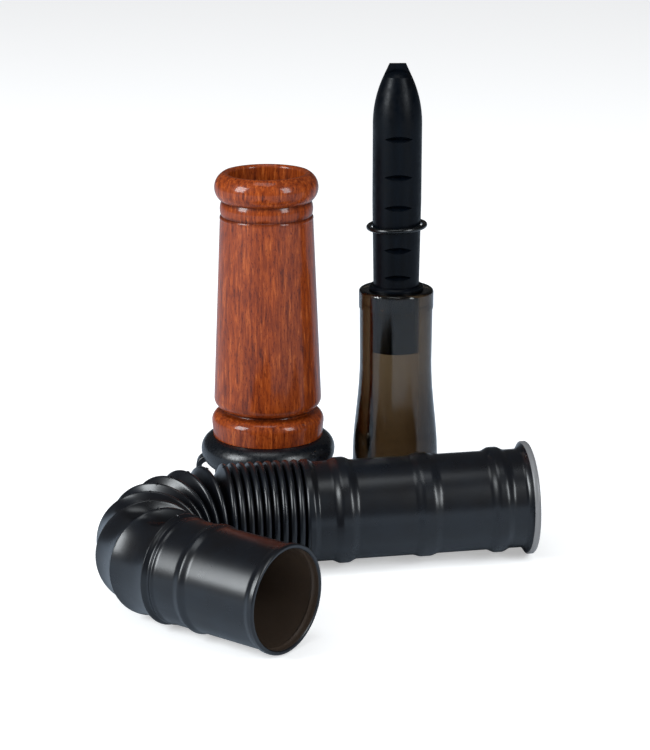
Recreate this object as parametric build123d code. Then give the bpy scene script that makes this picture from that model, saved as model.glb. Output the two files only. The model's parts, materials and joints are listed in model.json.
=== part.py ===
from build123d import *
import os
from math import cos, radians, sin

# A grunt tube call laid out in its three groups, as it is taken apart for cleaning:
# the turned barrel standing on its lanyard collar, the reed unit standing beside it in its
# mouthpiece, and the corrugated tube lying bent on the table in front of both.
# Millimetres. The origin is on the barrel's axis, on the table; X is right, Y is back, Z is up.

# Driving dimensions of the barrel
barrel_foot_z = 18.0
barrel_top_z = 85.2
barrel_bore_radius = 9.4
body_top_radius = 11.6
body_foot_radius = 13.5

# Driving dimensions of the spigot and its lanyard collar
spigot_radius = 11.05
spigot_bore_radius = 8.6
tenon_radius = 10.2
tenon_top_z = 26.0
collar_underside_z = 9.6
collar_gap = 0.1
collar_clearance = 0.08
collar_radius = 16.9

# Driving dimensions of the reed unit
reed_unit_x = 32.2
reed_unit_y = -1.6
reed_unit_turn = 2.0
mouthpiece_height = 56.2
mouthpiece_bore_radius = 5.85
plug_radius = 5.8
plug_foot_z = 40.8
flange_radius = 6.75
flange_top_z = 57.2
board_foot_radius = 5.65
board_radius = 6.0
board_taper_top = 78.0
board_slab_thickness = 1.3
board_shoulder = (3.4, 109.2)
board_top_z = 112.2
notch_heights = (59.9, 66.9, 77.5, 85.1, 94.5)
ring_height = 72.1
ring_cord_radius = 0.6
ring_bore_radius = 6.35
ring_tilt = 3.0
reed_thickness = 0.3
reed_pivot_z = 52.0
reed_lean = 1.0

# Driving dimensions of the corrugated tube
crest_radius = 12.55
valley_radius = 8.4
cuff_radius = 11.8
bell_radius = 13.5
rear_rise = 1.05
tube_wall = 0.65
fold_pitch = 2.1
fold_half_width = 0.85
first_ring_x = 10.4
first_ring_y = -45.3
rear_heading = 188.5
first_fold_gap = 2.8
closed_folds = 9
closed_turn = 0.6
open_folds = 8
first_open_turn = 11.8
open_turn_growth = 1.25
hinge_offset = 12.5


def revolved(edges):
    """Solid of revolution about Z of a closed outline drawn as (radius, height)."""
    return revolve(Plane.XZ * make_face(edges), Axis.Z)


def closed_outline(points):
    """Straight-sided closed outline as edges."""
    return [Polyline(*points, close=True)]


# ---------------------------------------------------------------- barrel

def wood_barrel():
    """Turned barrel: foot bead, neck, tapered body, small bead, top bead and straight bore."""
    foot_edge = (13.8, barrel_foot_z)
    foot_bead = (14.15, 21.6)
    neck_foot = (11.5, 24.4)
    neck_top = (11.5, 25.2)
    body_foot = (body_foot_radius, 28.0)
    body_top = (body_top_radius, 73.6)
    lower_groove = (11.3, 74.6)
    upper_groove = (11.15, 78.2)
    top_outside = (10.7, barrel_top_z)
    top_inside = (10.2, barrel_top_z)
    bore_top = (barrel_bore_radius, 84.4)
    edges = [
        Line((tenon_radius, barrel_foot_z), foot_edge),
        Line(foot_edge, foot_bead),
        ThreePointArc(foot_bead, (13.5, 23.5), neck_foot),
        ThreePointArc(neck_foot, (11.0, 24.8), neck_top),
        ThreePointArc(neck_top, (13.0, 26.2), body_foot),
        Line(body_foot, body_top),
        ThreePointArc(body_top, (11.6, 74.2), lower_groove),
        ThreePointArc(lower_groove, (11.56, 76.4), upper_groove),
        ThreePointArc(upper_groove, (12.87, 82.0), top_outside),
        Line(top_outside, top_inside),
        ThreePointArc(top_inside, (9.63, 84.97), bore_top),
        Line(bore_top, (barrel_bore_radius, tenon_top_z)),
        Line((barrel_bore_radius, tenon_top_z), (tenon_radius, tenon_top_z)),
        Line((tenon_radius, tenon_top_z), (tenon_radius, barrel_foot_z)),
    ]
    return revolved(edges)


def hose_spigot():
    """Hard plastic spigot: a tenon glued in the barrel, the collar's seat and a snap bead."""
    bead_radius = spigot_radius + 0.4
    points = [
        (spigot_bore_radius, 0.0),
        (spigot_radius - 0.6, 0.0),
        (spigot_radius, 1.0),
        (spigot_radius, 7.9),
        (bead_radius, 8.4),
        (bead_radius, collar_underside_z - 0.7),
        (spigot_radius, collar_underside_z - 0.2),
        (spigot_radius, barrel_foot_z),
        (tenon_radius, barrel_foot_z),
        (tenon_radius, tenon_top_z),
        (spigot_bore_radius, tenon_top_z),
    ]
    return revolved(closed_outline(points))


def lanyard_collar():
    """Domed collar that turns on the spigot, with a D-shaped lanyard eye hanging at its left."""
    bore = spigot_radius + collar_clearance
    top = barrel_foot_z - collar_gap
    underside = (13.0, collar_underside_z)
    belly = (collar_radius, 14.0)
    crown = (14.0, top)
    edges = [
        Line((bore, collar_underside_z), underside),
        ThreePointArc(underside, (15.8, 11.1), belly),
        ThreePointArc(belly, (16.1, 16.6), crown),
        Line(crown, (bore, top)),
        Line((bore, top), (bore, collar_underside_z)),
    ]
    eye_middle = Pos(-15.25, 0, 7.35)
    eye_half_thickness = 2.0
    eye = extrude(Plane.XZ * RectangleRounded(6.1, 10.3, 2.9), eye_half_thickness, both=True)
    hole = extrude(Plane.XZ * RectangleRounded(3.5, 7.1, 1.7), 2 * eye_half_thickness, both=True)
    eye = fillet(eye.edges().filter_by(Axis.Y, reverse=True), 0.55)
    return revolved(edges) + eye_middle * eye - eye_middle * hole


# ---------------------------------------------------------------- reed unit

def at_reed_unit(solid):
    """Place a piece modelled on the Z axis where the reed unit stands."""
    return Pos(reed_unit_x, reed_unit_y, 0) * Rot(0, 0, reed_unit_turn) * solid


def mouthpiece():
    """Thick smoke-tinted tube, waisted in the middle and flared to the mouth end it stands on."""
    lip = (9.9, 0)
    flare_foot = (10.7, 1.2)
    flare_top = (10.7, 13.0)
    waist = (9.0, 38.0)
    shoulder_foot = (9.1, 51.3)
    shoulder = (9.3, 51.5)
    shoulder_top = (9.3, mouthpiece_height - 0.8)
    top_edge = (8.5, mouthpiece_height)
    lower_bore_top = 18.0
    lower_bore_radius = mouthpiece_bore_radius + 0.3
    edges = [
        Line((lower_bore_radius, 0), lip),
        ThreePointArc(lip, (10.5, 0.3), flare_foot),
        Line(flare_foot, flare_top),
        Spline(flare_top, (9.85, 25.0), waist, tangents=((0, 1), (0, 1))),
        Line(waist, shoulder_foot),
        Line(shoulder_foot, shoulder),
        Line(shoulder, shoulder_top),
        ThreePointArc(shoulder_top, (9.07, mouthpiece_height - 0.23), top_edge),
        Line(top_edge, (mouthpiece_bore_radius, mouthpiece_height)),
        Line((mouthpiece_bore_radius, mouthpiece_height), (mouthpiece_bore_radius, lower_bore_top)),
        Line((mouthpiece_bore_radius, lower_bore_top), (lower_bore_radius, lower_bore_top)),
        Line((lower_bore_radius, lower_bore_top), (lower_bore_radius, 0)),
    ]
    return at_reed_unit(revolved(edges))


def board_side():
    """Side of the board from its foot to its shoulder, as (half width, height) edges."""
    ogive_foot = 97.5
    return [
        Line((0, flange_top_z), (board_foot_radius, flange_top_z)),
        Line((board_foot_radius, flange_top_z), (board_radius, board_taper_top)),
        Line((board_radius, board_taper_top), (board_radius, ogive_foot)),
        ThreePointArc((board_radius, ogive_foot), (5.35, 103.5), board_shoulder),
    ]


def board_front():
    """Half-round front of the board with a bullet nose."""
    nose = (0, 110.8)
    edges = [
        *board_side(),
        ThreePointArc(board_shoulder, (1.9, 110.4), nose),
        Line(nose, (0, flange_top_z)),
    ]
    front_half = Pos(0, -10, 80) * Box(20, 20, 80)
    return revolved(edges) & front_half


def board_slab():
    """Flat back of the board, which the reed closes on, with the squared-off tip."""
    tip = (2.0, board_top_z)
    edges = [
        *board_side(),
        Line(board_shoulder, tip),
        Line(tip, (0, board_top_z)),
        Line((0, board_top_z), (0, flange_top_z)),
    ]
    half = make_face(edges)
    return extrude(Plane.XZ * (half + mirror(half, Plane.YZ)), -board_slab_thickness)


def reed_slot_tool():
    """Slot behind the board's foot that takes the reed's tail and its wedge."""
    slot_front = 1.1
    slot_foot = 46.5
    depth = 6.0
    height = 16.0
    box = Pos(0, slot_front + depth / 2, slot_foot + height / 2) * Box(5.4, depth, height)
    return box & Pos(0, 0, slot_foot + height / 2) * Cylinder(mouthpiece_bore_radius, height)


def notch_tool(height):
    """V-groove across the front of the board, deepest in the middle, that the ring drops into."""
    depth = 1.1
    half_width = 0.85
    clear = 1.0
    taper = min(1, (height - flange_top_z) / (board_taper_top - flange_top_z))
    face = board_foot_radius + (board_radius - board_foot_radius) * taper
    spread = half_width * (depth + clear) / depth
    points = [(depth - face, height), (-face - clear, height - spread), (-face - clear, height + spread)]
    return extrude(Plane.YZ * make_face(closed_outline(points)), board_radius, both=True)


def tone_board():
    """Tone board: plug, flange, half-round board, ring notches, tone channel and air hole."""
    air_radius = 2.0
    channel_radius = 2.3
    channel_foot = flange_top_z + 0.6
    channel_top = 104.0
    plug_height = mouthpiece_height - plug_foot_z
    flange_foot = mouthpiece_height + 0.05
    plug = Pos(0, 0, plug_foot_z + plug_height / 2) * Cylinder(plug_radius, plug_height + 0.1)
    flange_height = flange_top_z - flange_foot
    flange = Pos(0, 0, flange_foot + flange_height / 2) * Cylinder(flange_radius, flange_height)
    flange = chamfer(flange.edges().group_by(Axis.Z)[-1], 0.3)
    board = plug + flange + board_front() + board_slab()
    for height in notch_heights:
        board -= notch_tool(height)
    channel_length = channel_top - channel_foot
    channel_middle = channel_foot + channel_length / 2
    board -= Pos(0, board_slab_thickness, channel_middle) * Cylinder(channel_radius, channel_length)
    air_length = channel_foot + 1 - plug_foot_z
    board -= Pos(0, 0, plug_foot_z + air_length / 2) * Cylinder(air_radius, air_length + 0.2)
    board -= reed_slot_tool()
    return at_reed_unit(board)


def reed():
    """Thin plastic reed: a narrow tail in the plug and a broad tongue standing just off the board."""
    tail_foot = 48.0
    tongue_foot = flange_top_z + 2.1
    tongue_top = 110.0
    tail_half = 2.5
    tongue_half = 4.7
    tip_half = 2.6
    shoulder_height = 1.5
    tip_height = 7.0
    front = board_slab_thickness + 0.1
    right_side = [
        (tail_half, tail_foot),
        (tail_half, tongue_foot - shoulder_height),
        (tongue_half, tongue_foot),
        (tongue_half, tongue_top - tip_height),
        (tip_half, tongue_top),
    ]
    left_side = [(-x, z) for x, z in reversed(right_side)]
    outline = right_side + left_side
    blank = extrude(Plane.XZ * make_face(closed_outline(outline)), -reed_thickness)
    strip = Pos(0, front, 0) * blank
    pivot = Pos(0, front + reed_thickness / 2, reed_pivot_z)
    return at_reed_unit(pivot * Rot(-reed_lean, 0, 0) * pivot.inverse() * strip)


def reed_wedge():
    """Wedge pressed in behind the reed's tail."""
    wedge_front = 2.05
    wedge_foot = 46.6
    wedge_height = 11.7
    wedge_depth = 5.0
    middle = wedge_foot + wedge_height / 2
    box = Pos(0, wedge_front + wedge_depth / 2, middle) * Box(5.2, wedge_depth, wedge_height)
    inside_plug = Pos(0, 0, middle) * Cylinder(plug_radius - 0.05, wedge_height)
    return at_reed_unit(box & inside_plug)


def o_ring():
    """Rubber ring round the board that sets the reed's free length, lying slightly askew."""
    ring = Torus(ring_bore_radius + ring_cord_radius, ring_cord_radius)
    return at_reed_unit(Pos(0, 0, ring_height) * Rot(0, -ring_tilt, 0) * ring)


# ---------------------------------------------------------------- corrugated tube

def ahead(x, y, heading, forward, left=0.0):
    """Point reached from (x, y) by going forward and to the left of a heading in degrees."""
    c, s = cos(radians(heading)), sin(radians(heading))
    return x + forward * c - left * s, y + forward * s + left * c


def open_turns():
    """Rest angle of each open fold, growing a little towards the front cuff."""
    return [first_open_turn + open_turn_growth * i for i in range(open_folds)]


def fold_places():
    """Centre and heading of every fold, from the one beside the rear cuff to the front cuff's."""
    x, y = ahead(first_ring_x, first_ring_y, rear_heading, first_fold_gap)
    heading = rear_heading
    places = [(x, y, heading)]
    for _ in range(closed_folds - 1):
        x, y = ahead(x, y, heading + closed_turn / 2, fold_pitch)
        heading += closed_turn
        places.append((x, y, heading))
    for turn in open_turns():
        hinge = ahead(x, y, heading, fold_pitch / 2, hinge_offset)
        heading += turn
        x, y = ahead(*hinge, heading, fold_pitch / 2, -hinge_offset)
        places.append((x, y, heading))
    return places


def fold_hinges():
    """Plan position of the inner edge that each open fold bends about."""
    before = fold_places()[closed_folds - 1:-1]
    return [ahead(x, y, heading, fold_pitch / 2, hinge_offset) for x, y, heading in before]


def tube_plane(x, y, heading, rise=0.0):
    """Plane square to the tube's axis, with its normal along the heading and the tube on the table."""
    level = cos(radians(rise))
    normal = (cos(radians(heading)) * level, sin(radians(heading)) * level, sin(radians(rise)))
    return Plane(origin=(x, y, crest_radius), x_dir=(0, 0, 1), z_dir=normal)


def fold_ring():
    """One corrugation: a V-shaped crest ring about the Z axis."""
    shoulder = crest_radius - 0.25
    shoulder_half = 0.3
    crest_inside = (crest_radius - 1.15, 0)
    inside = valley_radius - tube_wall
    edges = [
        Line((valley_radius, -fold_half_width), (shoulder, -shoulder_half)),
        ThreePointArc((shoulder, -shoulder_half), (crest_radius, 0), (shoulder, shoulder_half)),
        Line((shoulder, shoulder_half), (valley_radius, fold_half_width)),
        Line((valley_radius, fold_half_width), (inside, fold_half_width)),
        Line((inside, fold_half_width), crest_inside),
        Line(crest_inside, (inside, -fold_half_width)),
        Line((inside, -fold_half_width), (valley_radius, -fold_half_width)),
    ]
    return revolved(edges)


def web(place, next_place):
    """Stretched wall between two open crests, waisted half way."""
    flank_radius = 11.9
    waist_radius = 11.45
    web_wall = 0.5
    flank_offset = 0.6
    end_cut = 0.01
    start = tube_plane(*place).offset(flank_offset)
    end = tube_plane(*next_place).offset(-flank_offset)
    middle_x = (start.origin.X + end.origin.X) / 2
    middle_y = (start.origin.Y + end.origin.Y) / 2
    waist = tube_plane(middle_x, middle_y, (place[2] + next_place[2]) / 2)
    outer = loft([start * Circle(flank_radius), waist * Circle(waist_radius), end * Circle(flank_radius)])
    inner = loft([
        start.offset(-end_cut) * Circle(flank_radius - web_wall),
        waist * Circle(waist_radius - web_wall),
        end.offset(end_cut) * Circle(flank_radius - web_wall),
    ])
    return outer - inner


def swollen_wall(length, swells):
    """Tube wall with ribs and grooves, each given as (place along the tube, half width, height)."""
    outer = wall_line(cuff_radius, length, swells)
    inner = wall_line(cuff_radius - tube_wall, length, swells)
    foot = Line((cuff_radius - tube_wall, 0), (cuff_radius, 0))
    top = Line((cuff_radius, length), (cuff_radius - tube_wall, length))
    return revolved([foot, *outer, top, *inner])


def wall_line(radius, length, swells):
    """One face of a ribbed wall as straight runs and arcs."""
    edges = []
    reached = 0
    for place, half_width, height in swells:
        start = (radius, place - half_width)
        end = (radius, place + half_width)
        edges.append(Line((radius, reached), start))
        edges.append(ThreePointArc(start, (radius + height, place), end))
        reached = place + half_width
    edges.append(Line((radius, reached), (radius, length)))
    return edges


def rear_cuff():
    """Long rear cuff: first ring, three ribs and the flared end that slips over the barrel."""
    ring_half = 1.7
    swells = [
        (ring_half, 1.5, 0.75),
        (10.0, 2.7, 0.75),
        (29.7, 2.9, 0.55),
        (47.1, 3.0, 0.75),
    ]
    neck = 52.3
    end = 55.1
    lip_foot = end - 1.1
    inside = cuff_radius - tube_wall
    bell_inside = bell_radius - tube_wall
    wall = swollen_wall(neck, swells)
    bell = [
        Line((inside, neck), (cuff_radius, neck)),
        ThreePointArc((cuff_radius, neck), (12.15, neck + 1.0), (bell_radius, lip_foot)),
        Line((bell_radius, lip_foot), (bell_radius, end)),
        Line((bell_radius, end), (bell_inside, end)),
        ThreePointArc((bell_inside, end), (11.65, neck + 1.4), (inside, neck)),
    ]
    first_ring = tube_plane(first_ring_x, first_ring_y, rear_heading - 180, rear_rise)
    return first_ring.offset(-ring_half).location * (wall + revolved(bell))


def front_cuff():
    """Short front cuff: its ring, a rib and the thickened rim of the open mouth."""
    foot = 1.3
    length = 30.7 - foot
    swells = [
        (2.2 - foot, 0.75, 0.7),
        (10.2 - foot, 1.5, 0.5),
        (29.5 - foot, 1.1, 0.3),
    ]
    x, y, heading = fold_places()[-1]
    return tube_plane(x, y, heading).offset(foot).location * swollen_wall(length, swells)


def all_parts():
    """Every sub-part by name."""
    parts = {
        "wood_barrel": wood_barrel(),
        "hose_spigot": hose_spigot(),
        "lanyard_collar": lanyard_collar(),
        "mouthpiece": mouthpiece(),
        "tone_board": tone_board(),
        "reed": reed(),
        "reed_wedge": reed_wedge(),
        "o_ring": o_ring(),
        "hose_rear_cuff": rear_cuff(),
        "hose_front_cuff": front_cuff(),
    }
    places = fold_places()
    ring = fold_ring()
    for number, place in enumerate(places, start=1):
        parts[f"hose_fold_{number:02d}"] = tube_plane(*place).location * ring
    for number in range(closed_folds, closed_folds + open_folds):
        parts[f"hose_web_{number:02d}"] = web(places[number - 1], places[number])
    return parts


os.makedirs("parts", exist_ok=True)
for name, solid in all_parts().items():
    export_step(solid, f"parts/{name}.step")
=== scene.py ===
import json
import math

import bmesh
import bpy
from mathutils import Matrix, Vector


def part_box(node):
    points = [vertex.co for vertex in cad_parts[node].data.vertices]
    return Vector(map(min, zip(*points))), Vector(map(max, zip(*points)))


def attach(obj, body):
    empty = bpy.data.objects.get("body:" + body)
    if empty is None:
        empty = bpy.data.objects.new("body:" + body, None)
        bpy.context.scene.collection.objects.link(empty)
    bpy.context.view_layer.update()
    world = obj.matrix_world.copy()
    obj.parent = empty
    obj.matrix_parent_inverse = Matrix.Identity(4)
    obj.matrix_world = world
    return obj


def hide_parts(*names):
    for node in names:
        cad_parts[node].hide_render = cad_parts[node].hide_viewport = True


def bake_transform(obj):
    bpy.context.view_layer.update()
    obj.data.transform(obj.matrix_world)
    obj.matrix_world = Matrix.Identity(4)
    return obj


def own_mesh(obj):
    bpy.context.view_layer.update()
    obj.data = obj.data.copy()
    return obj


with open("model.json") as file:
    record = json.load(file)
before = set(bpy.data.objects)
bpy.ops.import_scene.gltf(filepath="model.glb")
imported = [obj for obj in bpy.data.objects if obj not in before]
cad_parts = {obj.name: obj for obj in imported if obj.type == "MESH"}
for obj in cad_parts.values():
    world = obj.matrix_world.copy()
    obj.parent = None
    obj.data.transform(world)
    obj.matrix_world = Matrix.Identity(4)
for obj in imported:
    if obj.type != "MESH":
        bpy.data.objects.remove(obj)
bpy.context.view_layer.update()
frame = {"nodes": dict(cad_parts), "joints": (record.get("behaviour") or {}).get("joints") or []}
mm = 0.001


# Camera
# It stands at table distance, a little above the pieces and about level with their middle from
# side to side, and looks down on them through a long lens.
camera = bpy.data.objects.new("camera", bpy.data.cameras.new("camera"))
camera.data.lens = 114.7
camera.data.sensor_width = 36
camera.location = (0.01447, -0.57945, 0.19937)
camera.rotation_euler = (math.radians(90 - 16), 0, 0)
bpy.context.scene.collection.objects.link(camera)
bpy.context.scene.camera = camera
bpy.context.scene.view_settings.view_transform = "Standard"


# Table and studio light
# A pale table top under a white surround, with soft boxes to the left, to the right and above.
# The table gives off a little light of its own. Both it and the surround are set darker in
# reflections than they are where they are seen directly.
def flat_material(name, colour, roughness):
    """A principled material with one colour and one roughness."""
    material = bpy.data.materials.new(name)
    material.use_nodes = True
    shader = material.node_tree.nodes["Principled BSDF"]
    shader.inputs["Base Color"].default_value = (*colour, 1)
    shader.inputs["Roughness"].default_value = roughness
    return material


def soft_box(name, azimuth, elevation, distance, width, height, power):
    """Area light turned to the pieces; azimuth 0 is the camera's side, positive to the right."""
    light = bpy.data.lights.new(name, "AREA")
    light.shape = "RECTANGLE"
    light.size = width
    light.size_y = height
    light.energy = power
    light.color = (0.92, 0.97, 1.0)
    lamp = bpy.data.objects.new(name, light)
    a, e = math.radians(azimuth), math.radians(elevation)
    aim = Vector((0.01, -0.04, 0.04))
    away = Vector((math.sin(a) * math.cos(e), -math.cos(a) * math.cos(e), math.sin(e)))
    lamp.location = aim + away * distance
    lamp.rotation_euler = away.to_track_quat("Z", "Y").to_euler()
    bpy.context.scene.collection.objects.link(lamp)


table_mesh = bpy.data.meshes.new("table")
reach = 3.0
table_mesh.from_pydata(
    [(-reach, -reach, 0), (reach, -reach, 0), (reach, reach, 0), (-reach, reach, 0)], [], [(0, 1, 2, 3)]
)
table = bpy.data.objects.new("table", table_mesh)
table_own_light = 0.4
table_in_reflections = (0.5, 0.58, 0.68)
table_paint = flat_material("table_paint", (0.9, 0.9, 0.9), 0.9)
paint_nodes, paint_links = table_paint.node_tree.nodes, table_paint.node_tree.links
seen_paint = paint_nodes["Principled BSDF"]
seen_paint.inputs["Emission Color"].default_value = (1, 1, 1, 1)
seen_paint.inputs["Emission Strength"].default_value = table_own_light
reflected_paint = paint_nodes.new("ShaderNodeBsdfDiffuse")
reflected_paint.inputs["Color"].default_value = (*table_in_reflections, 1)
seen_or_reflected = paint_nodes.new("ShaderNodeMixShader")
table_ray = paint_nodes.new("ShaderNodeLightPath")
paint_links.new(table_ray.outputs["Is Glossy Ray"], seen_or_reflected.inputs["Fac"])
paint_links.new(seen_paint.outputs["BSDF"], seen_or_reflected.inputs[1])
paint_links.new(reflected_paint.outputs["BSDF"], seen_or_reflected.inputs[2])
paint_links.new(seen_or_reflected.outputs["Shader"], paint_nodes["Material Output"].inputs["Surface"])
table.data.materials.append(table_paint)
bpy.context.scene.collection.objects.link(table)

side_box = {"elevation": 28, "distance": 0.9, "height": 0.5}
soft_box("left_soft_box", azimuth=-64, width=0.34, power=8.5, **side_box)
soft_box("right_soft_box", azimuth=50, width=0.26, power=4.2, **side_box)
soft_box("top_soft_box", azimuth=-20, elevation=80, distance=1.0, width=0.5, height=0.4, power=1.6)

surround_strength = 0.42
surround_in_reflections = 0.06
surround_added_where_seen = 0.7
world = bpy.data.worlds.new("white_surround")
bpy.context.scene.world = world
world.use_nodes = True
surround = world.node_tree.nodes["Background"]
light_path = world.node_tree.nodes.new("ShaderNodeLightPath")
dimmer = world.node_tree.nodes.new("ShaderNodeMapRange")
dimmer.inputs["To Min"].default_value = surround_strength
dimmer.inputs["To Max"].default_value = surround_in_reflections
backdrop = world.node_tree.nodes.new("ShaderNodeMath")
backdrop.operation = "MULTIPLY_ADD"
backdrop.inputs[1].default_value = surround_added_where_seen
world.node_tree.links.new(light_path.outputs["Is Glossy Ray"], dimmer.inputs["Value"])
world.node_tree.links.new(light_path.outputs["Is Camera Ray"], backdrop.inputs[0])
world.node_tree.links.new(dimmer.outputs["Result"], backdrop.inputs[2])
world.node_tree.links.new(backdrop.outputs["Value"], surround.inputs["Strength"])
surround.inputs["Color"].default_value = (0.97, 0.98, 1.0, 1)


# Wood barrel
# Turned from one piece of red-brown hardwood, bored through, sanded and dipped in clear gloss
# lacquer. The grain runs up the barrel in darker streaks, with short open pores between them.
def add_node(material, kind, settings=None, inputs=None):
    """Node of a material's tree with its settings and its input values."""
    node = material.node_tree.nodes.new(kind)
    for key, value in (settings or {}).items():
        setattr(node, key, value)
    for key, value in (inputs or {}).items():
        node.inputs[key].default_value = value
    return node


def stretched_noise(material, scale, inputs):
    """Noise on the piece's own coordinates, stretched by a scale for each axis."""
    place = add_node(material, "ShaderNodeTexCoord")
    mapping = add_node(material, "ShaderNodeMapping", inputs={"Scale": scale})
    noise = add_node(material, "ShaderNodeTexNoise", inputs={"Scale": 1.0, **inputs})
    material.node_tree.links.new(place.outputs["Object"], mapping.inputs["Vector"])
    material.node_tree.links.new(mapping.outputs["Vector"], noise.inputs["Vector"])
    return noise.outputs["Fac"]


def ramp(material, factor, stops):
    """Colour ramp with (place, colour) stops."""
    node = add_node(material, "ShaderNodeValToRGB")
    elements = node.color_ramp.elements
    while len(elements) < len(stops):
        elements.new(0.5)
    for element, (place, colour) in zip(elements, stops):
        element.position = place
        element.color = (*colour, 1)
    material.node_tree.links.new(factor, node.inputs["Fac"])
    return node.outputs["Color"]


def mixed(material, blend_type, factor, first, second):
    """Colour mix of two sockets; the factor is a number or a socket."""
    node = add_node(material, "ShaderNodeMix", {"data_type": "RGBA", "blend_type": blend_type})
    if isinstance(factor, float):
        node.inputs["Factor"].default_value = factor
    else:
        material.node_tree.links.new(factor, node.inputs["Factor"])
    material.node_tree.links.new(first, node.inputs["A"])
    material.node_tree.links.new(second, node.inputs["B"])
    return node.outputs["Result"]


def add_bump(material, height, strength, distance):
    """Bump from a height socket on the material's principled shader."""
    bump = add_node(material, "ShaderNodeBump", inputs={"Strength": strength, "Distance": distance})
    shader = material.node_tree.nodes["Principled BSDF"]
    material.node_tree.links.new(height, bump.inputs["Height"])
    material.node_tree.links.new(bump.outputs["Normal"], shader.inputs["Normal"])


def lacquered_hardwood():
    """Red-brown wood with streaks and pores under clear lacquer, and painted shade in its turned grooves."""
    material = flat_material("lacquered_hardwood", (0.3, 0.08, 0.03), 0.42)
    links = material.node_tree.links
    shader = material.node_tree.nodes["Principled BSDF"]
    streaks = stretched_noise(
        material, (1300, 1000, 130), {"Detail": 7, "Roughness": 0.72, "Distortion": 0.4}
    )
    figure = stretched_noise(material, (190, 120, 18), {"Detail": 3, "Roughness": 0.55, "Distortion": 0.8})
    pores = stretched_noise(material, (3000, 3000, 900), {"Detail": 2.0, "Roughness": 0.6})
    colour = ramp(material, streaks, [
        (0.32, (0.06, 0.009, 0.003)),
        (0.45, (0.175, 0.027, 0.004)),
        (0.56, (0.26, 0.046, 0.006)),
        (0.7, (0.45, 0.115, 0.024)),
    ])
    bands = ramp(material, figure, [
        (0.3, (0.74, 0.66, 0.6)),
        (0.5, (0.94, 0.92, 0.9)),
        (0.7, (1.1, 1.1, 1.05)),
    ])
    colour = mixed(material, "MULTIPLY", 0.85, colour, bands)
    pore_mask = ramp(material, pores, [(0.33, (0.42, 0.3, 0.24)), (0.42, (1, 1, 1))])
    colour = mixed(material, "MULTIPLY", 0.8, colour, pore_mask)
    place = add_node(material, "ShaderNodeTexCoord")
    split = add_node(material, "ShaderNodeSeparateXYZ")
    links.new(place.outputs["Object"], split.inputs["Vector"])
    low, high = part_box("wood_barrel")
    height = add_node(material, "ShaderNodeMapRange", inputs={"From Min": low.z, "From Max": high.z})
    links.new(split.outputs["Z"], height.inputs["Value"])
    length = high.z - low.z
    # Painted shade: a thin dark band across each turned groove, darker than the wood around it.
    stops = [(0.0, (1, 1, 1))]
    for groove in (6.8, 56.6, 60.2):
        middle = groove * mm / length
        stops += [(middle - 0.012, (1, 1, 1)), (middle, (0.3, 0.24, 0.22)), (middle + 0.012, (1, 1, 1))]
    colour = mixed(material, "MULTIPLY", 0.9, colour, ramp(material, height.outputs["Result"], stops))
    links.new(colour, shader.inputs["Base Color"])
    add_bump(material, pore_mask, 0.45, 0.00006)
    shader.inputs["Specular IOR Level"].default_value = 0.1
    shader.inputs["Coat Weight"].default_value = 0.5
    shader.inputs["Coat Roughness"].default_value = 0.12
    shader.inputs["Coat IOR"].default_value = 1.5
    return material


def finish_node(node, material):
    """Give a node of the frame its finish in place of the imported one."""
    piece = frame["nodes"][node]
    piece.data.materials.clear()
    piece.data.materials.append(material)


finish_node("wood_barrel", lacquered_hardwood())


# Spigot
# A hard black plastic tube turned to a tight tenon and glued up into the barrel's foot. The
# collar seats on it and the corrugated tube pushes over it.
def fine_grain_plastic(name, colour, roughness, grain, depth):
    """Moulded plastic with a fine, slightly uneven surface."""
    material = flat_material(name, colour, roughness)
    shader = material.node_tree.nodes["Principled BSDF"]
    cloud = stretched_noise(material, (grain, grain, grain), {"Detail": 4, "Roughness": 0.6})
    spread = ramp(material, cloud, [(0.35, (roughness * 0.8,) * 3), (0.65, (roughness * 1.25,) * 3)])
    material.node_tree.links.new(spread, shader.inputs["Roughness"])
    add_bump(material, cloud, 0.2, depth)
    return material


finish_node("hose_spigot", fine_grain_plastic("spigot_plastic", (0.012, 0.013, 0.015), 0.3, 900, 0.00004))


# Lanyard collar
# A domed ring of black rubber, moulded with the lanyard eye in one piece, snapped over the
# spigot's bead so that it can turn under the barrel.
finish_node("lanyard_collar", fine_grain_plastic("collar_rubber", (0.002, 0.003, 0.005), 0.3, 1400, 0.00003))


# Mouthpiece
# A thick-walled tube moulded in smoke-tinted clear plastic and polished. The tint lies in the
# depth of the wall, so it is darkest where the wall is seen edge on.
def smoke_plastic():
    """Clear tinted plastic whose colour comes from its depth."""
    material = flat_material("smoke_plastic", (0.93, 0.86, 0.76), 0.12)
    shader = material.node_tree.nodes["Principled BSDF"]
    shader.inputs["Transmission Weight"].default_value = 1.0
    shader.inputs["IOR"].default_value = 1.49
    depth = add_node(material, "ShaderNodeVolumeAbsorption", inputs={"Density": 450.0})
    depth.inputs["Color"].default_value = (0.43, 0.3, 0.12, 1)
    output = material.node_tree.nodes["Material Output"]
    material.node_tree.links.new(depth.outputs["Volume"], output.inputs["Volume"])
    flow = stretched_noise(material, (260, 260, 60), {"Detail": 2, "Roughness": 0.5})
    add_bump(material, flow, 0.15, 0.0001)
    return material


finish_node("mouthpiece", smoke_plastic())


# Tone board
# A half-round bar of hard black plastic with its plug and flange moulded on. Five notches
# across its front seat the tuning ring, and the reed lies along its flat back.
def board_plastic():
    """Hard black plastic, bluish and glossy, with faint mould flow along the bar."""
    material = fine_grain_plastic("board_plastic", (0.0035, 0.006, 0.009), 0.38, 700, 0.00004)
    shader = material.node_tree.nodes["Principled BSDF"]
    shader.inputs["Specular IOR Level"].default_value = 0.12
    flow = stretched_noise(material, (500, 500, 50), {"Detail": 3, "Roughness": 0.55})
    tint = ramp(material, flow, [(0.3, (0.0005, 0.001, 0.002)), (0.7, (0.001, 0.0025, 0.005))])
    material.node_tree.links.new(tint, shader.inputs["Base Color"])
    return material


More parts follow.
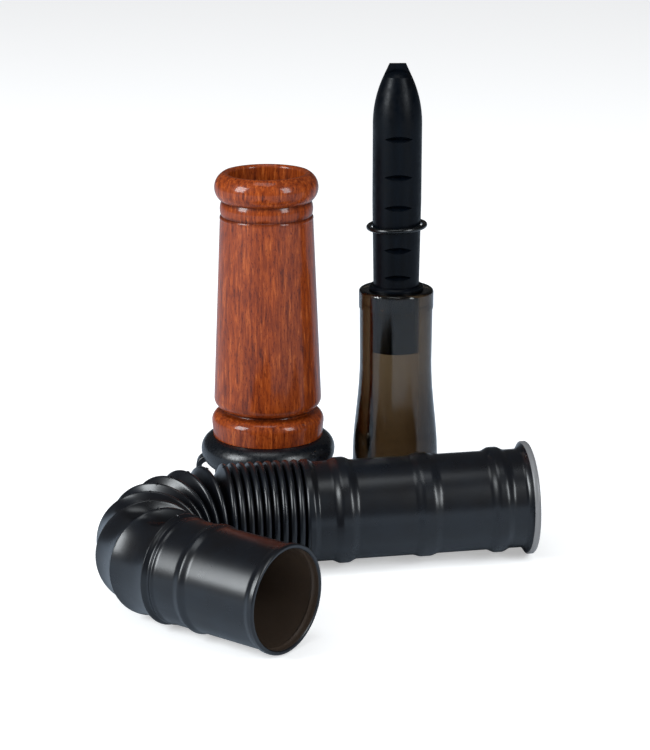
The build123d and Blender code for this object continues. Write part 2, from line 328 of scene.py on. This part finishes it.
finish_node("tone_board", board_plastic())


# Reed and wedge
# The reed is cut from thin black plastic film and its tail is held in the plug by a wedge of
# black cork.
finish_node("reed", fine_grain_plastic("reed_film", (0.018, 0.019, 0.02), 0.22, 1800, 0.00002))
finish_node("reed_wedge", fine_grain_plastic("wedge_cork", (0.03, 0.026, 0.022), 0.7, 2600, 0.0001))


# Tuning ring
# A small black rubber ring with a round section, passed over the board and reed. It keeps its
# round shape here and stands a little clear of both.
finish_node("o_ring", fine_grain_plastic("ring_rubber", (0.002, 0.0025, 0.003), 0.24, 2200, 0.00002))


# Corrugated tube: finishes
# Blow-moulded in dark smoke plastic, glossy outside. The wall lets no light through here, so
# the warm brown of its inside and the paler trimmed edge of the bell are painted light, standing in for
# light that comes through the thin wall.
def tube_skin():
    """Glossy dark tube wall with slight mould waviness."""
    material = flat_material("tube_skin", (0.012, 0.014, 0.018), 0.2)
    shader = material.node_tree.nodes["Principled BSDF"]
    tone = stretched_noise(material, (140, 140, 140), {"Detail": 3, "Roughness": 0.55})
    colour = ramp(material, tone, [(0.3, (0.0035, 0.0035, 0.0045)), (0.7, (0.0045, 0.006, 0.009))])
    material.node_tree.links.new(colour, shader.inputs["Base Color"])
    cloud = stretched_noise(material, (260, 260, 260), {"Detail": 3, "Roughness": 0.5})
    spread = ramp(material, cloud, [(0.3, (0.27,) * 3), (0.7, (0.3,) * 3)])
    material.node_tree.links.new(spread, shader.inputs["Roughness"])
    add_bump(material, cloud, 0.04, 0.00005)
    return material


tube_finishes = [
    tube_skin(),
    # Finish 1: the inside, painted warm brown as painted light coming through the wall.
    fine_grain_plastic("tube_inside_painted_light", (0.05, 0.034, 0.024), 0.4, 500, 0.00004),
    # Finish 2: the bell's edge, painted pale grey as painted light coming through the thin lip.
    fine_grain_plastic("tube_edge_painted_light", (0.15, 0.15, 0.155), 0.35, 900, 0.00004),
]


# Corrugated tube: folds
# The folds of the tube are one wall that runs from crest to crest. One wall length sets how
# deep it hangs between any two crests: deep between closed folds, shallow between open ones.
crest_radius = (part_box("hose_fold_01")[1].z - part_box("hose_fold_01")[0].z) / 2
first_fold_gap = 2.8 * mm
ring_front = 0.9 * mm
fold_wall_length = 8.6 * mm
closed_crest_bead = 0.72 * mm
open_crest_bead = 0.5 * mm
fold_skin = 0.3 * mm
first_open_fold, last_fold = 10, 17
points_around = 129


def tube_rings():
    """Middle and heading of every fold's crest, worked out from the joints along the tube."""
    turns = {joint["child"]: joint for joint in frame["joints"]}
    rings = []
    heading = None
    for number in range(1, last_fold + 1):
        low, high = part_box(f"hose_fold_{number:02d}")
        joint = turns["hose_front" if number == last_fold else f"fold_{number:02d}"]
        if joint["type"] == "slide":
            along = math.atan2(joint["axis"][1], joint["axis"][0])
            heading = along if heading is None else 2 * along - heading
        else:
            heading -= math.radians(joint["range_deg"][0])
        rings.append(((low + high) / 2, heading))
    return rings


def ahead(middle, heading, forward, rise=0.0):
    """Point reached by going forward from a ring's middle."""
    level = math.cos(rise) * forward
    return middle + Vector((math.cos(heading) * level, math.sin(heading) * level, math.sin(rise) * forward))


class Recipe:
    """A geometry node tree and short ways to add its nodes."""

    def __init__(self, name, inputs):
        self.tree = bpy.data.node_groups.new(name, "GeometryNodeTree")
        self.tree.is_modifier = True
        self.tree.interface.new_socket("Geometry", in_out="OUTPUT", socket_type="NodeSocketGeometry")
        for label, kind in inputs.items():
            self.tree.interface.new_socket(label, in_out="INPUT", socket_type=kind)
        self.given = self.tree.nodes.new("NodeGroupInput").outputs

    def put(self, socket, value):
        """Link a socket to an input, or set a number on it."""
        if isinstance(value, bpy.types.NodeSocket):
            self.tree.links.new(value, socket)
        else:
            socket.default_value = value

    def node(self, kind, settings=None, **inputs):
        """Node with its settings and inputs."""
        node = self.tree.nodes.new(kind)
        for key, value in (settings or {}).items():
            setattr(node, key, value)
        for key, value in inputs.items():
            self.put(node.inputs[key.replace("_", " ")], value)
        return node

    def math(self, operation, *values):
        """Number worked out from one to three numbers."""
        node = self.tree.nodes.new("ShaderNodeMath")
        node.operation = operation
        for socket, value in zip(node.inputs, values):
            self.put(socket, value)
        return node.outputs["Value"]

    def vector(self, operation, *values):
        """Vector worked out from one or two vectors, or a vector and a scale."""
        node = self.tree.nodes.new("ShaderNodeVectorMath")
        node.operation = operation
        for socket, value in zip(node.inputs, values):
            is_scale = operation == "SCALE" and socket != node.inputs[0]
            self.put(node.inputs["Scale"] if is_scale else socket, value)
        return node.outputs["Value" if operation == "LENGTH" else "Vector"]

    def identifier(self, label):
        """Identifier that a modifier knows an input by."""
        items = self.tree.interface.items_tree
        return next(item.identifier for item in items if item.name == label and item.in_out == "INPUT")


def fold_wall_recipe():
    """Wall from one crest to the next, or the part of it from share From to share To."""
    recipe = Recipe("fold_wall", {
        "Start Middle": "NodeSocketVector",
        "Start Heading": "NodeSocketFloat",
        "End Middle": "NodeSocketVector",
        "End Heading": "NodeSocketFloat",
        "Crest Radius": "NodeSocketFloat",
        "Wall Length": "NodeSocketFloat",
        "Crest Bead": "NodeSocketFloat",
        "From": "NodeSocketFloat",
        "To": "NodeSocketFloat",
        "Around": "NodeSocketInt",
        "Along": "NodeSocketInt",
        "Finish": "NodeSocketMaterial",
    })
    number, vector, given = recipe.math, recipe.vector, recipe.given
    grid = recipe.node(
        "GeometryNodeMeshGrid", Size_X=1.0, Size_Y=1.0, Vertices_X=given["Around"], Vertices_Y=given["Along"]
    )
    flat = recipe.node("ShaderNodeSeparateXYZ", Vector=recipe.node("GeometryNodeInputPosition").outputs[0])
    angle = number("MULTIPLY", number("ADD", flat.outputs["X"], 0.5), 2 * math.pi)
    share = number("ADD", flat.outputs["Y"], 0.5)
    span = number("SUBTRACT", given["To"], given["From"])
    share = number("ADD", given["From"], number("MULTIPLY", share, span))
    share = number("MULTIPLY_ADD", number("COSINE", number("MULTIPLY", share, math.pi)), -0.5, 0.5)

    def outward(heading):
        """Direction from the tube's middle to the wall, square to a heading."""
        side = recipe.node(
            "ShaderNodeCombineXYZ",
            X=number("MULTIPLY", number("SINE", heading), -1.0),
            Y=number("COSINE", heading),
        ).outputs[0]
        up = recipe.node("ShaderNodeCombineXYZ", Z=number("SINE", angle)).outputs[0]
        return vector("ADD", vector("SCALE", side, number("COSINE", angle)), up)

    start_out = outward(given["Start Heading"])
    end_out = outward(given["End Heading"])
    start = vector("ADD", given["Start Middle"], vector("SCALE", start_out, given["Crest Radius"]))
    end = vector("ADD", given["End Middle"], vector("SCALE", end_out, given["Crest Radius"]))
    gap = vector("SUBTRACT", end, start)
    half_gap = number("MULTIPLY", vector("LENGTH", gap), 0.5)
    half_wall = number("MULTIPLY", given["Wall Length"], 0.5)
    half_gap_squared = number("MULTIPLY", half_gap, half_gap)
    slack = number("SUBTRACT", number("MULTIPLY", half_wall, half_wall), half_gap_squared)
    sag = number("SQRT", number("MAXIMUM", slack, 4e-7))
    openness = number("DIVIDE", half_gap, half_wall)
    roundness = number("MULTIPLY_ADD", openness, 0.95, 1.0)
    from_middle = number("ABSOLUTE", number("MULTIPLY_ADD", share, 2.0, -1.0))
    from_crest = number("MULTIPLY", number("SUBTRACT", 1.0, from_middle), half_gap)
    slope = number("DIVIDE", number("MULTIPLY", sag, roundness), half_gap)
    lean = number("ARCTANGENT", slope)
    bead_half = number("MULTIPLY", given["Crest Bead"], number("SINE", lean))
    bead_drop = number("MULTIPLY", given["Crest Bead"], number("SUBTRACT", 1.0, number("COSINE", lean)))
    on_bead = number("MINIMUM", from_crest, bead_half)
    bead_squared = number("MULTIPLY", given["Crest Bead"], given["Crest Bead"])
    bead = number("SQRT", number("SUBTRACT", bead_squared, number("MULTIPLY", on_bead, on_bead)))
    drop = number("SUBTRACT", given["Crest Bead"], bead)
    past = number("MAXIMUM", number("SUBTRACT", from_crest, bead_half), 0.0)
    past = number("DIVIDE", past, number("SUBTRACT", half_gap, bead_half))
    hang = number("SUBTRACT", 1.0, number("POWER", number("SUBTRACT", 1.0, past), roundness))
    drop = number("ADD", drop, number("MULTIPLY", hang, number("SUBTRACT", sag, bead_drop)))
    mean_out = vector("NORMALIZE", vector("ADD", start_out, end_out))
    inward = vector("SCALE", mean_out, number("MULTIPLY", drop, -1.0))
    place = vector("ADD", vector("ADD", start, vector("SCALE", gap, share)), inward)
    wall = recipe.node("GeometryNodeSetPosition", Geometry=grid.outputs["Mesh"], Position=place).outputs[0]
    wall = recipe.node("GeometryNodeMergeByDistance", Geometry=wall, Distance=1e-6).outputs[0]
    wall = recipe.node("GeometryNodeSetShadeSmooth", Geometry=wall).outputs[0]
    wall = recipe.node("GeometryNodeRealizeInstances", Geometry=wall).outputs[0]
    wall = recipe.node("GeometryNodeSetMaterial", Geometry=wall, Material=given["Finish"]).outputs[0]
    recipe.tree.links.new(wall, recipe.tree.nodes.new("NodeGroupOutput").inputs[0])
    return recipe


def plain_mesh_from(name, recipe, values, thickness):
    """Run a recipe once, give its wall a thickness, and keep the result as a plain mesh object."""
    maker = bpy.data.objects.new(name + "_maker", bpy.data.meshes.new(name + "_maker"))
    bpy.context.scene.collection.objects.link(maker)
    modifier = maker.modifiers.new("recipe", "NODES")
    modifier.node_group = recipe.tree
    for label, value in values.items():
        modifier[recipe.identifier(label)] = value
    wall = maker.modifiers.new("wall", "SOLIDIFY")
    wall.thickness = thickness
    wall.offset = -1
    # The inner side takes finish 1, the warm brown painted light of the inside.
    wall.material_offset = 1
    depsgraph = bpy.context.evaluated_depsgraph_get()
    mesh = bpy.data.meshes.new_from_object(maker.evaluated_get(depsgraph))
    bpy.data.objects.remove(maker)
    mesh.name = name
    mesh.set_sharp_from_angle(angle=math.radians(50))
    mesh.materials.clear()
    for finish in tube_finishes:
        mesh.materials.append(finish)
    piece = bpy.data.objects.new(name, mesh)
    bpy.context.scene.collection.objects.link(piece)
    return piece


def fold_body(number):
    """Body that a fold's crest is on; the last fold is moulded on the front cuff."""
    return "hose_front" if number == last_fold else f"fold_{number:02d}"


rings = tube_rings()
first_middle, rear_heading = rings[0]
first_ring = ahead(first_middle, rear_heading, -first_fold_gap)
fold_wall = fold_wall_recipe()


def wall_piece(name, start, end, share_from, share_to, along, crest_bead):
    """One piece of the folds' wall between two crests, each a (middle, heading)."""
    return plain_mesh_from(name, fold_wall, {
        "Start Middle": start[0],
        "Start Heading": start[1],
        "End Middle": end[0],
        "End Heading": end[1],
        "Crest Radius": crest_radius,
        "Wall Length": fold_wall_length,
        "Crest Bead": crest_bead,
        "From": share_from,
        "To": share_to,
        "Around": points_around,
        "Along": along,
        "Finish": tube_finishes[0],
    }, fold_skin)


closed_start = (ahead(first_ring, rear_heading, ring_front), rear_heading)
closed_rings = [closed_start, *rings[:first_open_fold - 1]]
for number in range(1, first_open_fold):
    start, end = closed_rings[number - 1], closed_rings[number]
    piece = wall_piece(f"closed_fold_wall_{number:02d}", start, end, 0.0, 1.0, 41, closed_crest_bead)
    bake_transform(piece)
    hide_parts(f"hose_fold_{number:02d}")

# The wall between two open crests is in halves. Each half rides on its own crest, and the
# halves meet at rest.
for number in range(first_open_fold, last_fold + 1):
    start, end = rings[number - 2], rings[number - 1]
    rear = wall_piece(f"open_fold_rear_wall_{number:02d}", start, end, 0.0, 0.5, 21, open_crest_bead)
    front = wall_piece(f"open_fold_front_wall_{number:02d}", start, end, 0.5, 1.0, 21, open_crest_bead)
    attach(rear, fold_body(number - 1))
    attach(front, fold_body(number))
    for piece, (middle, heading) in ((rear, start), (front, end)):
        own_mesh(piece)
    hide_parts(f"hose_web_{number - 1:02d}")
    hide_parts(f"hose_web_{number - 1:02d}")
    if number < last_fold:
        finish_node(f"hose_fold_{number:02d}", tube_finishes[0])


# Corrugated tube: cuffs
# The plain ends of the same moulding. The long rear cuff has a wide end ring, three round ribs
# and a bell whose trimmed edge is painted paler, as painted light coming through the thin lip;
# the short front cuff has a ring, a rib and a thick rim.
cuff_radius = 11.8 * mm
cuff_wall = 0.65 * mm
rear_rise = math.radians(1.05)
rib_shoulder = 2.2


def swollen(along, swells):
    """Height of the round-shouldered ribs at a place, each (middle, half width, height) in mm."""
    height = 0.0
    for middle, half_width, rise in swells:
        climb = min(1.0, max(0.0, (half_width - abs(along - middle)) / rib_shoulder))
        height += rise * climb * climb * (3 - 2 * climb)
    return height


def turned_tube(name, outline, middle, heading, rise, segments=160):
    """Closed wall turned about the tube's axis; outline holds (along, radius, finish) points."""
    tilt = Matrix.Rotation(heading, 4, "Z") @ Matrix.Rotation(-rise, 4, "Y")
    place = Matrix.Translation(middle) @ tilt
    shape = bmesh.new()
    rows = []
    for step in range(segments):
        angle = 2 * math.pi * step / segments
        across, up = math.cos(angle), math.sin(angle)
        rows.append([shape.verts.new(place @ Vector((s, r * across, r * up))) for s, r, _ in outline])
    for step in range(segments):
        row, next_row = rows[step], rows[(step + 1) % segments]
        for i in range(len(outline)):
            j = (i + 1) % len(outline)
            face = shape.faces.new((row[i], row[j], next_row[j], next_row[i]))
            face.material_index = outline[i][2]
            face.smooth = True
    bmesh.ops.recalc_face_normals(shape, faces=shape.faces)
    mesh = bpy.data.meshes.new(name)
    shape.to_mesh(mesh)
    shape.free()
    for finish in tube_finishes:
        mesh.materials.append(finish)
    piece = bpy.data.objects.new(name, mesh)
    bpy.context.scene.collection.objects.link(piece)
    return piece


def steps(first, last, size):
    """Evenly spaced places from first to last, about size apart."""
    count = max(1, round((last - first) / size))
    return [first + (last - first) * i / count for i in range(count + 1)]


def rear_cuff_outline():
    """Outline of the long cuff, from its end ring at 0 to the bell; outside, edge, then inside."""
    swells = [(7.9, 3.0, 0.78), (27.4, 3.2, 0.55), (45.0, 2.9, 0.8)]
    neck, lip_foot, end = 50.6, 52.2, 53.4
    crest = crest_radius / mm
    base, wall, bell = cuff_radius / mm, cuff_wall / mm, 13.5
    outside = []
    for s in steps(-ring_front / mm, 1.6, 0.16):
        fall = max(0.0, (s - 0.1) / 1.5)
        outside.append((s, crest - (crest - base) * math.sin(fall * math.pi / 2) ** 2, 0))
    for s in steps(1.8, neck, 0.3):
        outside.append((s, base + swollen(s, swells), 0))
    for s in steps(neck + 0.2, lip_foot, 0.2):
        share = (s - neck) / (lip_foot - neck)
        # The last of the flare takes finish 2, painted light: paler where light would come through the thin
        # lip.
        outside.append((s, base + (bell - base) * share ** 1.7, 2 if share > 0.8 else 0))
    # The edge takes finish 2 as well, the same painted light.
    edge = [
        (end - 0.25, bell + 0.02, 2),
        (end, bell - 0.18, 2),
        (end, bell - 0.5, 2),
        (end - 0.2, bell - wall, 1),
    ]
    # The inside takes finish 1, its warm brown painted light.
    inside = [(s, r - wall, 1) for s, r, _ in reversed(outside)]
    points = outside[:-1] + [(lip_foot, bell, 2)] + edge + inside
    return [(s * mm, r * mm, finish) for s, r, finish in points]


def front_cuff_outline():
    """Outline of the short cuff, from the last crest at 0 to the rim of its mouth."""
    swells = [(2.2, 0.95, 0.72), (10.2, 1.9, 0.55)]
    rim_foot, end, rim_rise = 28.0, 30.7, 0.42
    crest = crest_radius / mm
    base, wall = cuff_radius / mm, cuff_wall / mm
    outside = []
    for s in steps(0.0, 1.2, 0.12):
        outside.append((s, crest - (crest - base) * math.sin(s / 1.2 * math.pi / 2) ** 2, 0))
    for s in steps(1.3, 27.8, 0.22):
        outside.append((s, base + swollen(s, swells), 0))
    for s in steps(rim_foot, end - 0.35, 0.12):
        share = (s - rim_foot) / (end - rim_foot)
        outside.append((s, base + rim_rise * math.sin(min(1.0, share * 1.6) * math.pi / 2) ** 2, 0))
    rim = base + rim_rise
    edge = [
        (end - 0.15, rim - 0.05, 0),
        (end, rim - 0.25, 0),
        (end, rim - 0.75, 0),
        (end - 0.2, rim - 1.0, 1),
    ]
    # The inside takes finish 1, its warm brown painted light.
    inside = [(s, r - wall - (0.35 if s > 28.6 else 0.0), 1) for s, r, _ in reversed(outside)]
    return [(s * mm, r * mm, finish) for s, r, finish in outside + edge + inside]


rear_cuff = turned_tube("rear_cuff_skin", rear_cuff_outline(), first_ring, rear_heading + math.pi, rear_rise)
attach(rear_cuff, "hose_rear")
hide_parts("hose_rear_cuff")
last_middle, front_heading = rings[-1]
front_cuff = turned_tube("front_cuff_skin", front_cuff_outline(), last_middle, front_heading, 0.0)
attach(front_cuff, "hose_front")
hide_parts("hose_front_cuff", "hose_fold_17")


# Corrugated tube: mould nibs
# Where the two halves of the mould met, a short raised nib of plastic is left on top of each
# crest of the bend, from the last closed fold to the front cuff, lying along the tube.
nib_length, nib_width, nib_height = 1.5 * mm, 0.26 * mm, 0.2 * mm


def mould_nib(name, middle, heading):
    """Small raised bar with a rounded back and thinned ends."""
    shape = bmesh.new()
    rows = []
    for i in range(9):
        share = i / 8
        swell = math.sqrt(max(0.0, 1 - (2 * share - 1) ** 2)) * 0.85 + 0.15
        along = (share - 0.5) * nib_length
        sag = nib_height * 1.6 * (2 * share - 1) ** 2
        row = []
        for k in range(8):
            angle = 2 * math.pi * k / 8
            side = nib_width / 2 * swell * math.cos(angle)
            up = nib_height * swell * math.sin(angle) - sag
            row.append(shape.verts.new((along, side, up)))
        rows.append(row)
    for row, next_row in zip(rows, rows[1:]):
        for k in range(8):
            shape.faces.new((row[k], row[(k + 1) % 8], next_row[(k + 1) % 8], next_row[k]))
    shape.faces.new(rows[0])
    shape.faces.new(rows[-1])
    bmesh.ops.recalc_face_normals(shape, faces=shape.faces)
    top = middle + Vector((0, 0, crest_radius))
    place = Matrix.Translation(top) @ Matrix.Rotation(heading, 4, "Z")
    bmesh.ops.transform(shape, matrix=place, verts=shape.verts)
    mesh = bpy.data.meshes.new(name)
    shape.to_mesh(mesh)
    shape.free()
    mesh.materials.append(tube_finishes[0])
    mesh.shade_smooth()
    piece = bpy.data.objects.new(name, mesh)
    bpy.context.scene.collection.objects.link(piece)
    return piece


for number in range(first_open_fold - 1, last_fold + 1):
    middle, heading = rings[number - 1]
    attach(mould_nib(f"mould_nib_{number:02d}", middle, heading), fold_body(number))
